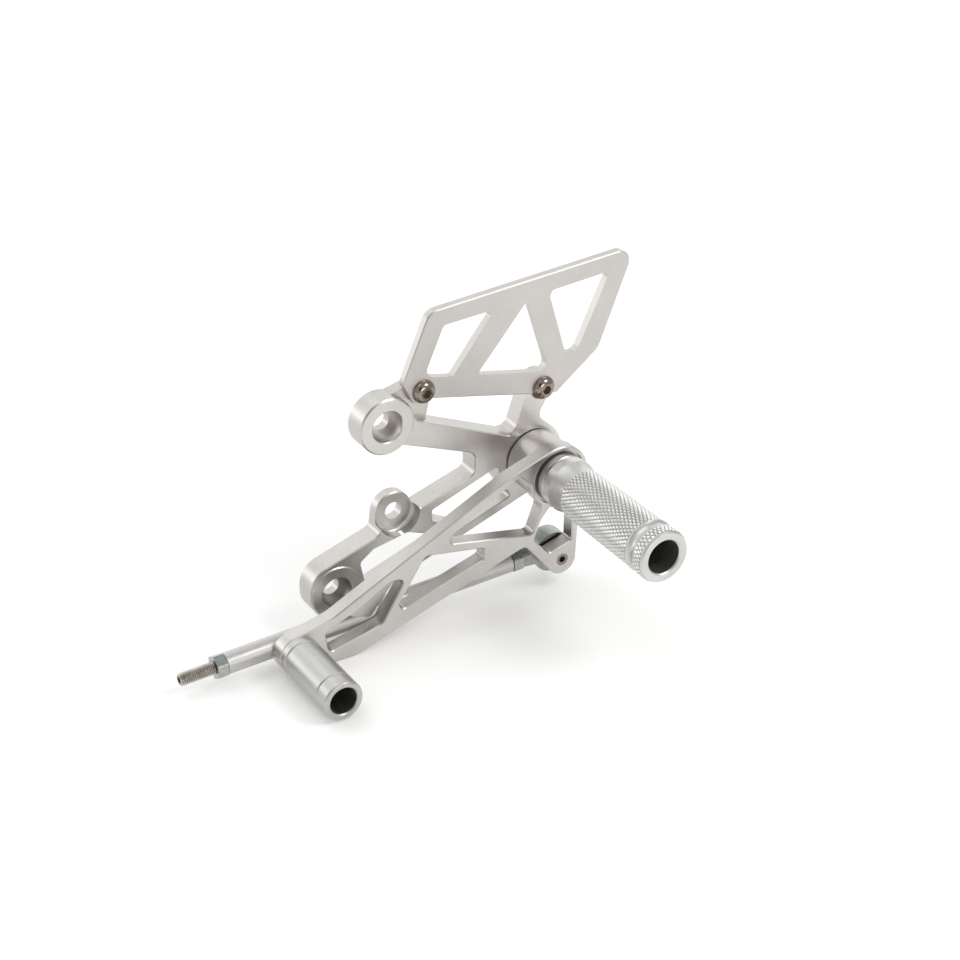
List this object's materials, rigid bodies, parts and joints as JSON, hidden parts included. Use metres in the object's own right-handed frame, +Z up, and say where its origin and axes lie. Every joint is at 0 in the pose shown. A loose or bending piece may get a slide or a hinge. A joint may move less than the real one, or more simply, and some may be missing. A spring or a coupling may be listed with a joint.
{
  "type": "rear sets footrest",
  "caption": "Left-hand rear-set: a milled hanger with a knurled foot peg and a heel guard, and a truss shift lever with a toe peg that works a straight shift rod.",
  "frame": {"origin": "on the foot peg's axis, in the hanger's inboard face that lies against the motorbike's frame", "axes": "+X rearward, -Y outboard along the pegs, +Z up"},
  "size_m": [0.2389, 0.1151, 0.152],
  "materials": {
    "milled_plate": "brushed",
    "guard_plate": "satin",
    "peg_aluminium": "satin anodised, knurled",
    "rod_aluminium": "satin",
    "bolt_steel": "black oxide",
    "sleeve_steel": "turned",
    "washer_steel": "dark",
    "button_steel": "polished",
    "zinc_steel": "zinc plated",
    "stud_steel": "dark",
    "bright_steel": "polished",
    "bush_plastic": "matt",
    "seal_rubber": "matt"
  },
  "bodies": {
    "fixed": {"hanger": "milled_plate", "heel_guard": "guard_plate", "heel_guard_screw_front": "button_steel", "heel_guard_screw_rear": "button_steel", "foot_peg": "peg_aluminium", "foot_peg_bolt": "bolt_steel", "pivot_sleeve": "sleeve_steel", "peg_washer": "washer_steel", "pivot_seal": "seal_rubber"},
    "lever": {"shift_lever": "milled_plate", "lever_bush_outer": "bush_plastic", "lever_bush_inner": "bush_plastic", "toe_peg": "peg_aluminium", "toe_peg_bolt": "bolt_steel", "rod_end_stud": "stud_steel", "rod_end_spacer": "washer_steel", "rod_end_ball": "bright_steel", "rod_end_nut": "zinc_steel"},
    "rod": {"rod_end_housing": "zinc_steel", "jam_nut_rear": "zinc_steel", "shift_rod": "rod_aluminium", "jam_nut_front": "zinc_steel", "threaded_stud": "stud_steel"}
  },
  "joints": [
    {"name": "shift_lever", "type": "hinge", "parent": "fixed", "child": "lever", "pos_m": [0, 0, 0], "axis": [0, 1, 0], "range_deg": [-15, 15]},
    {"name": "rod_end", "type": "hinge", "parent": "lever", "child": "rod", "pos_m": [0.0023, -0.0212, -0.0445], "axis": [0, 1, 0], "range_deg": [-30, 30]}
  ]
}
